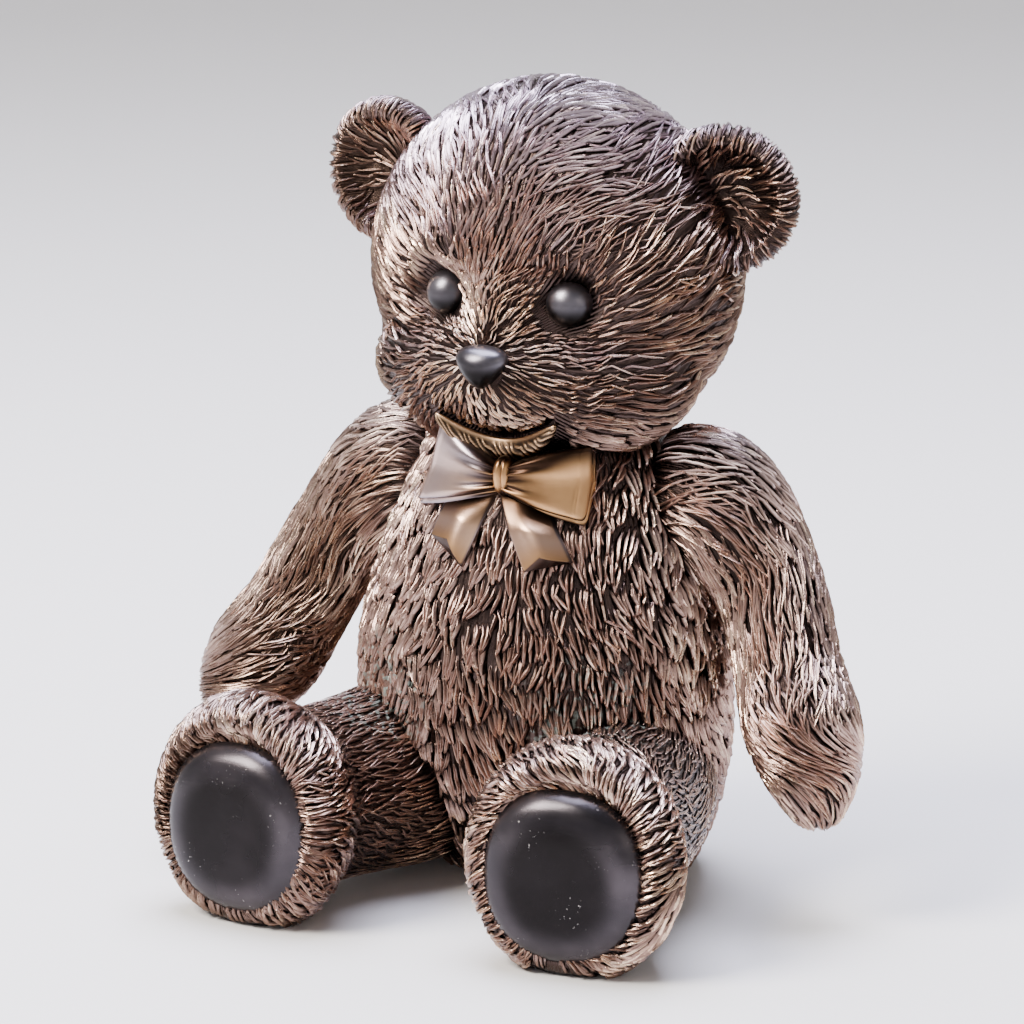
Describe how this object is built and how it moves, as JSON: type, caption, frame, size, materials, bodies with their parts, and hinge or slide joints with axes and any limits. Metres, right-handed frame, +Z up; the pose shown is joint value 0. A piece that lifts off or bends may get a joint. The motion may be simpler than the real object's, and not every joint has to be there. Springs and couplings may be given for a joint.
{
  "type": "teddy bear grave ornament",
  "caption": "Seated teddy bear memorial ornament cast in dark patinated bronze, with carved fur, smooth foot pads and a ribbon bow on its chest.",
  "frame": {"origin": "on the flat underside of the seat, on the ground plane under the body, in the bear's plane of symmetry", "axes": "+Z up, the bear faces -Y, its left side is +X"},
  "size_m": [0.27, 0.1927, 0.302],
  "materials": {
    "patinated_bronze": "dark brown patina with rubbed golden crests, satin"
  },
  "bodies": {
    "root": {"teddy_bear": "patinated_bronze"}
  },
  "joints": []
}
